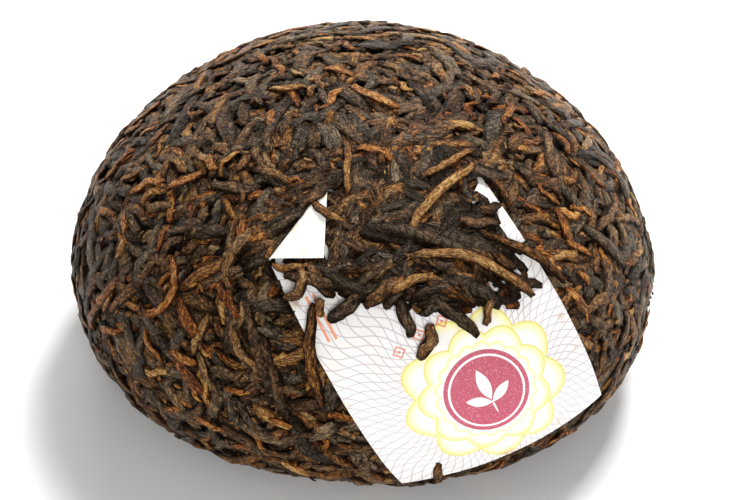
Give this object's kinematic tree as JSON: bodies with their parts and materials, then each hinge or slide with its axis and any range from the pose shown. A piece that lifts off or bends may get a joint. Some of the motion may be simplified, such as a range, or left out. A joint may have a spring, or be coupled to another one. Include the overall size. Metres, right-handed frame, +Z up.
{
  "type": "pu-erh tuocha",
  "caption": "Bowl-shaped cake of pressed, twisted dark tea leaves, with a hollow base and a paper slip half buried in its side.",
  "frame": {"origin": "on the surface that the cake stands on, under the middle of its box", "axes": "+Z up, from the hollow base to the crown. -Y is the side with the paper slip, +X is to the right of it"},
  "size_m": [0.082, 0.0826, 0.0429],
  "materials": {
    "tea_leaf": "dry, wrinkled, slightly satin leaves",
    "slip_paper": "thin matt paper with a printed pattern"
  },
  "bodies": {
    "root": {"tea_cake": "tea_leaf", "paper_slip": "slip_paper"}
  },
  "joints": []
}
